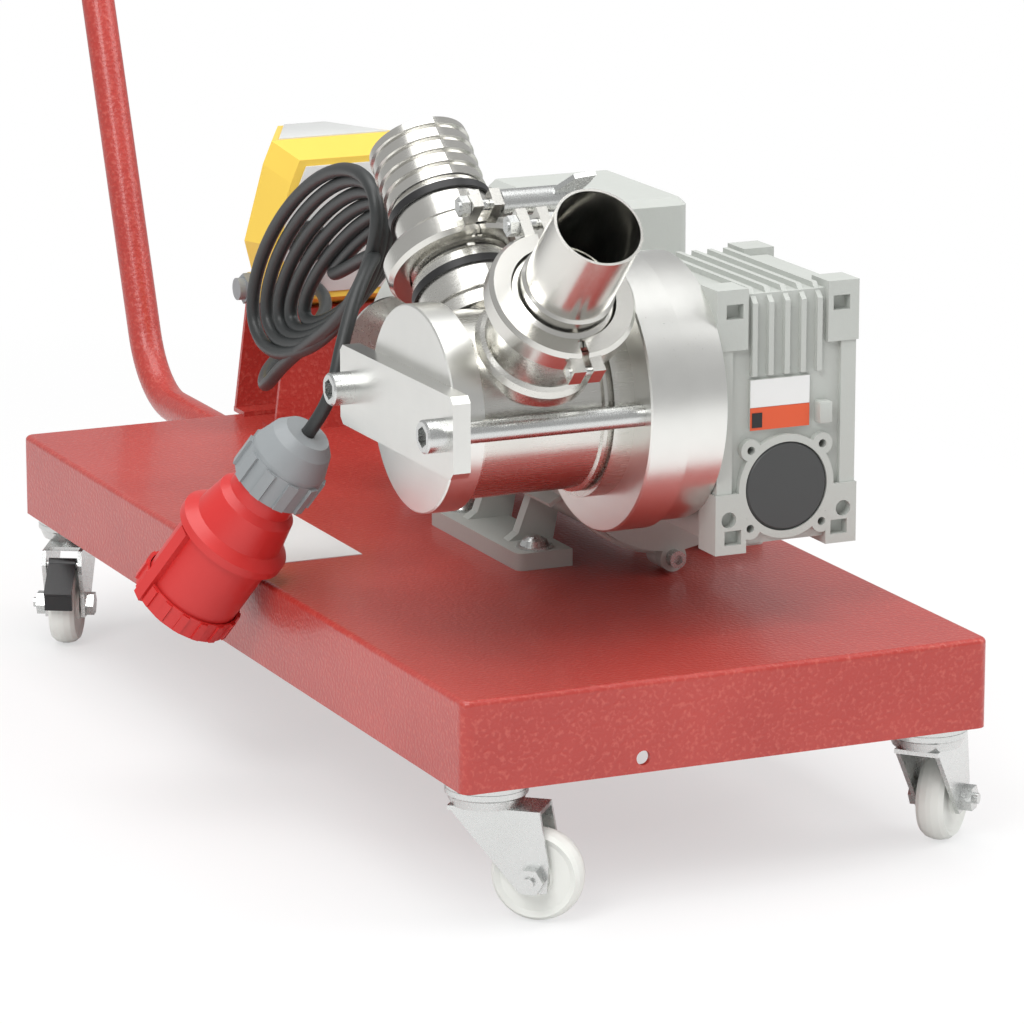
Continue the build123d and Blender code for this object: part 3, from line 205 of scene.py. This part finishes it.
def moulded(name, base, grain=700, rough=0.36, depth=0.12):
    skin = finish(name)
    fine, broad = skin.noise(grain, 2, 0.5), skin.noise(25, 2, 0.5)
    dark = tuple(c * 0.92 for c in base)
    skin.set(Base_Color=skin.mix(broad, dark, base), Roughness=rough + fine * 0.12)
    skin.bump(fine, depth, 0.0003)
    return skin.material


finishes = {
    "redCoat": redCoat(),
    "gearPaint": castPaint("gearPaint", paints["casting"]),
    "motorPaint": castPaint("motorPaint", paints["motor"]),
    "bareCasting": castPaint("bareCasting", paints["bareCasting"], 320, 0.36),
    "grain": brushed("grain", paints["steel"], (1, 0.04, 1)),
    "polished": brushed("polished", paints["pipe"], (1, 1, 1), 0.17, 0.03),
    "milled": brushed("milled", paints["plate"], (0.03, 1, 1), 0.27, 0.14),
    "turnedFace": brushed("turnedFace", paints["plate"], (1, 1, 1), 0.25, 0.10),
    "zinc": brushed("zinc", paints["zinc"], (1, 1, 1), 0.24, 0.20),
    "yellow": moulded("yellow", paints["yellow"]),
    "greyPlastic": moulded("greyPlastic", paints["greyPlastic"]),
    "palePlastic": moulded("palePlastic", paints["palePlastic"]),
    "redPlastic": moulded("redPlastic", paints["redPlastic"], 500, 0.30),
    "blackPlastic": moulded("blackPlastic", paints["black"]),
    "cap": moulded("cap", paints["cap"], 500, 0.40),
    "cable": moulded("cable", paints["cable"], 900, 0.38, 0.2),
    "nylon": moulded("nylon", paints["nylon"], 300, 0.34),
    "rubber": moulded("rubber", paints["rubber"], 600, 0.55),
    "brass": brushed("brass", paints["brass"], (1, 1, 1), 0.22, 0.05),
    "bronze": brushed("bronze", paints["bronze"], (1, 1, 1), 0.35, 0.1),
    "winding": moulded("winding", paints["winding"], 300, 0.45),
    "blank": moulded("blank", paints["blank"], 400, 0.40, 0.04),
    "orangeLabel": moulded("orangeLabel", paints["orangeLabel"], 400, 0.40, 0.04),
}
slotFinish = {
    "red_coat": "redCoat", "gear_paint": "gearPaint", "polished_steel": "polished", "brushed_steel": "grain",
    "milled_steel": "milled", "zinc_steel": "zinc", "grey_cap": "cap", "yellow_plastic": "yellow",
    "grey_plastic": "greyPlastic", "red_plastic": "redPlastic", "black_plastic": "blackPlastic",
    "black_rubber": "rubber", "cable_sheath": "cable", "white_wheel": "nylon", "brass": "brass", "bronze": "bronze",
    "copper_core": "winding", "bare_casting": "bareCasting",
}
for part in frame["record"]["subparts"]:
    data = frame["nodes"][part["node"]].data
    data.materials.clear()
    data.materials.append(finishes[slotFinish[part["material_slot"]]])
nodeFinish = {
    "motor_frame": "motorPaint", "fan_cowl": "motorPaint", "terminal_box": "motorPaint", "terminal_lid": "motorPaint",
    "motor_end_shield": "motorPaint", "motor_feet": "motorPaint", "inverter_cover": "yellow",
    "cable_hook": "turnedFace",
}
for node, look in nodeFinish.items():
    frame["nodes"][node].data.materials[0] = finishes[look]
print("finishes made")

# ---- mains lead: one cord from the inverter's front gland, round the coil and out to the plug
lead = {
    "radius": 0.004, "turns": 6, "pointsPerTurn": 14, "tilt": 29, "coil": (-0.027, -0.076, 0.161),
    "gland": (-0.254, 0.006, 0.098), "plugRim": (0.038, -0.194, -0.016), "plugTilt": (0.489, 0.382, 0.806),
    "plugReach": 0.136, "glandRun": 0.025, "nutRun": 0.017, "first": 0.24, "last": 5.90,
    "feed": ((-0.198, -0.008, 0.087), (-0.168, -0.058, 0.070), (-0.122, -0.080, 0.064), (-0.078, -0.082, 0.092)),
    "away": ((0.0565, -0.080, 0.1815), (0.0775, -0.096, 0.1755), (0.097, -0.112, 0.1625), (0.110, -0.125, 0.141),
             (0.114, -0.131, 0.122)),
    "left": (-0.119, -0.113, -0.101, -0.092, -0.084, -0.072, -0.062),
    "right": (0.110, 0.108, 0.105, 0.102, 0.099, 0.096, 0.092),
    "top": (0.046, 0.040, 0.031, 0.022, 0.014, 0.006, 0.000),
    "low": (-0.046, -0.045, -0.041, -0.037, -0.033, -0.029, -0.025),
    "side": (-0.012, -0.008, -0.004, 0.000, 0.004, 0.008, 0.012),
}
plugAxis = Vector(lead["plugTilt"]).normalized()


def between(values, turn):
    step = min(int(turn), len(values) - 2)
    return values[step] + (values[step + 1] - values[step]) * (turn - step)


def coilPoints():
    along = Vector((cos(radians(lead["tilt"])), 0, sin(radians(lead["tilt"]))))
    across = Vector((-along.z, 0, along.x))
    centre = fromDeck(*lead["coil"])
    points = []
    for index in range(lead["turns"] * lead["pointsPerTurn"]):
        turn = index / lead["pointsPerTurn"]
        if not lead["first"] < turn < lead["last"]:
            continue
        angle = pi + 2 * pi * turn
        left, right, top, low, side = [between(lead[key], turn) for key in ("left", "right", "top", "low", "side")]
        reach = (left + right) / 2 + (right - left) / 2 * cos(angle)
        rise = (top + low) / 2 + (top - low) / 2 * sin(angle)
        points.append(centre + along * reach + across * rise + yAxis * side)
    return points


def leadRoute():
    start = fromDeck(*lead["gland"])
    end = fromDeck(*lead["plugRim"]) + plugAxis * lead["plugReach"]
    feed = [start, start + xAxis * lead["glandRun"]] + [fromDeck(*spot) for spot in lead["feed"]]
    away = [fromDeck(*spot) for spot in lead["away"]] + [end + plugAxis * lead["nutRun"], end]
    return feed + coilPoints() + away


cordCurve = bpy.data.curves.new("mainsLead", "CURVE")
cordCurve.dimensions = "3D"
cordCurve.bevel_depth, cordCurve.bevel_resolution = lead["radius"], 5
cordCurve.resolution_u = 10
line = cordCurve.splines.new("NURBS")
route = leadRoute()
line.points.add(len(route) - 1)
for knot, spot in zip(line.points, route):
    knot.co = (*spot, 1)
line.order_u = 3
line.use_endpoint_u = True
cordCurve.use_fill_caps = True
mainsLead = bpy.data.objects.new("mainsLead", cordCurve)
bpy.context.scene.collection.objects.link(mainsLead)
cordCurve.materials.append(finishes["cable"])
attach(mainsLead, "chassis")
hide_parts("power_cord", "power_coil")
print("mains lead laid")

# ---- plates and small parts of the trim
frontPanel = {
    "margin": 0.013, "thick": 0.0014, "sunk": 0.0003, "bevel": 0.0005, "width": 0.124, "topWidth": 0.086,
    "flare": 0.008, "height": 0.106, "wide": 0.0445, "shoulder": 0.014, "shoulderReach": 0.006,
}
topPlate = {"inset": 0.003, "backHalf": 0.014, "frontHalf": 0.037, "sunk": 0.0007, "thick": 0.0008, "bevel": 0.0003}
flatPieces = {   # name: (low corner, high corner, bevel, look, slot), from the deck's middle and top
    "deckLabel": ((-0.104, -0.129, 0.0), (0.032, -0.081, 0.0004), 0, "blank", "grey_plastic"),
    "gearLabel": ((0.278, 0.0405, 0.1245), (0.2784, 0.076, 0.1395), 0, "blank", "grey_plastic"),
    "gearStripe": ((0.278, 0.0405, 0.112), (0.2784, 0.076, 0.1243), 0, "orangeLabel", "grey_plastic"),
    "gearSquare": ((0.2784, 0.0415, 0.1135), (0.2787, 0.0475, 0.1215), 0, "blackPlastic", "grey_plastic"),
    "gearLatch": ((0.274, 0.080, 0.113), (0.283, 0.088, 0.125), 0.0012, "gearPaint", "gear_paint"),
}
nutRibs = {"start": 0.0965, "reach": 0.019, "radius": 0.0230, "wall": 0.0015, "ribs": 10, "rise": 0.0018,
           "look": "greyPlastic", "slot": "grey_plastic"}
shroudRibs = {"start": 0.001, "reach": 0.013, "radius": 0.0300, "wall": 0.0012, "ribs": 16, "rise": 0.0012,
              "look": "redPlastic", "slot": "red_plastic"}
smoothAngle = radians(35)


def dress(piece, look, body="chassis"):
    bpy.ops.object.shade_smooth_by_angle(angle=smoothAngle)
    piece.data.materials.append(finishes[look])
    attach(piece, body)
    return piece


def slab(name, low, high, bevel, look, cuts=()):
    bpy.ops.object.select_all(action="DESELECT")
    bpy.ops.mesh.primitive_cube_add(size=1)
    piece = bpy.context.object
    piece.name = name
    bpy.ops.object.mode_set(mode="EDIT")
    bpy.ops.mesh.select_all(action="SELECT")
    bpy.ops.transform.resize(value=high - low)
    bpy.ops.transform.translate(value=(low + high) / 2)
    for spot, outward in cuts:
        bpy.ops.mesh.select_all(action="SELECT")
        bpy.ops.mesh.bisect(plane_co=spot, plane_no=outward, use_fill=True, clear_outer=True)
    bpy.ops.mesh.select_all(action="SELECT")
    if bevel:
        bpy.ops.mesh.bevel(offset=bevel, segments=2)
    bpy.ops.mesh.normals_make_consistent(inside=False)
    bpy.ops.object.mode_set(mode="OBJECT")
    return dress(piece, look)


def edgeCut(first, second, centre):
    run = second - first
    outward = Vector((0, run.z, -run.y)).normalized()
    if outward.dot(first - centre) < 0:
        outward.negate()
    return first, outward


def frontPanelMade():
    coverLow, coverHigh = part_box("inverter_cover")
    middle = Vector((coverHigh.x, (coverLow.y + coverHigh.y) / 2, coverLow.z))
    margin, peak = frontPanel["margin"], frontPanel["height"] - frontPanel["margin"]
    topHalf, wideHalf = frontPanel["topWidth"] / 2 - margin, frontPanel["width"] / 2 - margin
    outline = [(frontPanel["topWidth"] / 2 + frontPanel["flare"] - margin, margin), (wideHalf, frontPanel["wide"]),
               (topHalf + frontPanel["shoulderReach"], peak - frontPanel["shoulder"]), (topHalf, peak)]
    inner = middle + zAxis * frontPanel["wide"]
    cuts = []
    for side in (-1, 1):
        corners = [middle + Vector((0, side * reach, rise)) for reach, rise in outline]
        cuts += [edgeCut(first, second, inner) for first, second in zip(corners, corners[1:])]
    low = middle + Vector((-frontPanel["sunk"], -wideHalf, margin))
    high = middle + Vector((frontPanel["thick"], wideHalf, peak))
    slab("frontPanel", low, high, frontPanel["bevel"], "palePlastic", cuts)
    return middle.y


def topPlateMade(middleY):
    housingLow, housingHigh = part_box("inverter_housing")
    back = Vector((housingLow.x + topPlate["inset"], middleY, 0))
    front = Vector((housingHigh.x - topPlate["inset"], middleY, 0))
    cuts = []
    for side in (-1, 1):
        first = front + yAxis * side * topPlate["frontHalf"]
        run = back + yAxis * side * topPlate["backHalf"] - first
        outward = Vector((run.y, -run.x, 0)).normalized()
        cuts.append((first, outward if outward.y * side > 0 else -outward))
    low = Vector((back.x, middleY - topPlate["frontHalf"], housingHigh.z - topPlate["sunk"]))
    high = Vector((front.x, middleY + topPlate["frontHalf"], housingHigh.z + topPlate["thick"]))
    slab("topPlate", low, high, topPlate["bevel"], "palePlastic", cuts)


topPlateMade(frontPanelMade())
for name, (low, high, bevel, look, slot) in flatPieces.items():
    slab(name, fromDeck(*low), fromDeck(*high), bevel, look)


def ribbedRing(name, ring):
    reach, radius, wedge = ring["reach"], ring["radius"], pi / ring["ribs"]
    bpy.ops.object.select_all(action="DESELECT")
    bpy.ops.mesh.primitive_cylinder_add(vertices=2 * ring["ribs"], radius=radius, depth=reach)
    piece = bpy.context.object
    piece.name = name
    bpy.ops.object.mode_set(mode="EDIT")
    mesh = bmesh.from_edit_mesh(piece.data)
    bpy.context.tool_settings.mesh_select_mode = (False, False, True)
    for face in mesh.faces:
        angle = atan2(face.calc_center_median().y, face.calc_center_median().x)
        face.select = abs(face.normal.z) < 0.5 and int(round(angle / wedge - 0.5)) % 2 == 0
    bmesh.update_edit_mesh(piece.data)
    bpy.ops.mesh.inset(thickness=radius * 0.02)
    bpy.ops.mesh.extrude_region_shrink_fatten(TRANSFORM_OT_shrink_fatten={"value": ring["rise"]})
    mesh = bmesh.from_edit_mesh(piece.data)
    for face in mesh.faces:
        face.select = len(face.verts) > 8   # the two end caps
    bmesh.update_edit_mesh(piece.data)
    bpy.ops.mesh.inset(thickness=ring["wall"], use_individual=True)
    bpy.ops.mesh.bridge_edge_loops()
    bpy.ops.mesh.select_all(action="SELECT")
    bpy.ops.mesh.normals_make_consistent(inside=False)
    bpy.ops.object.mode_set(mode="OBJECT")
    middle = fromDeck(*lead["plugRim"]) + plugAxis * (ring["start"] + reach / 2)
    piece.matrix_world = Matrix.Translation(middle) @ plugAxis.to_track_quat("Z", "Y").to_matrix().to_4x4()
    bpy.ops.object.transform_apply()
    return dress(piece, ring["look"])


ribbedRing("nutRibs", nutRibs)
ribbedRing("shroudRibs", shroudRibs)
print("trim made")


# ---- floor and light
def plainLight(name, place, aim, size, power):
    lamp = bpy.data.lights.new(name, "AREA")
    lamp.shape, lamp.size, lamp.size_y, lamp.energy = "RECTANGLE", size[0], size[1], power
    holder = bpy.data.objects.new(name, lamp)
    bpy.context.scene.collection.objects.link(holder)
    holder.location = place
    holder.rotation_euler = (Vector(aim) - Vector(place)).to_track_quat("-Z", "Y").to_euler()


bpy.ops.object.select_all(action="DESELECT")
bpy.ops.mesh.primitive_plane_add(size=studio["floor"], location=(0, 0, studio["floorLevel"]))
floor = bpy.context.object
floor.name = "floor"
paper = finish("paper")
paper.set(Base_Color=(studio["paper"],) * 3, Roughness=studio["paperRough"])
reachOut = paper.place(scale=studio["fadeShape"])
spread = paper.node("ShaderNodeVectorMath", {"operation": "LENGTH"}, {0: reachOut}, "Value")
fade = paper.node("ShaderNodeMapRange", None, {"Value": spread, "From Min": studio["fadeFrom"],
                                               "From Max": studio["fadeTo"], "To Min": studio["fadeLeast"]}, "Result")
seen = paper.node("ShaderNodeLightPath", give="Is Camera Ray")
glow = paper.node("ShaderNodeEmission", None, {"Color": (1, 1, 1, 1), "Strength": 1.0}, "Emission")
lit = wire(paper.tree, paper.shader.outputs[0])
surface = paper.node("ShaderNodeMixShader", None, {0: fade * seen, 1: lit, 2: glow}, "Shader")
paper.tree.links.new(surface.socket, paper.tree.nodes["Material Output"].inputs[0])
floor.data.materials.append(paper.material)
world = bpy.data.worlds.new("studio")
bpy.context.scene.world = world
world.use_nodes = True
sky = world.node_tree
backdrop, ray = sky.nodes["Background"], sky.nodes.new("ShaderNodeLightPath")
backdrop.inputs["Color"].default_value = studio["skyColour"]
backdrop.inputs["Strength"].default_value = studio["skyPower"]
white = sky.nodes.new("ShaderNodeBackground")
white.inputs["Color"].default_value = (1, 1, 1, 1)
choose = sky.nodes.new("ShaderNodeMixShader")
sky.links.new(ray.outputs["Is Camera Ray"], choose.inputs[0])
sky.links.new(backdrop.outputs[0], choose.inputs[1])
sky.links.new(white.outputs[0], choose.inputs[2])
sky.links.new(choose.outputs[0], sky.nodes["World Output"].inputs[0])
for name, (place, aim, size, power) in studio["lamps"].items():
    plainLight(name, place, aim, size, power)
print("studio set")
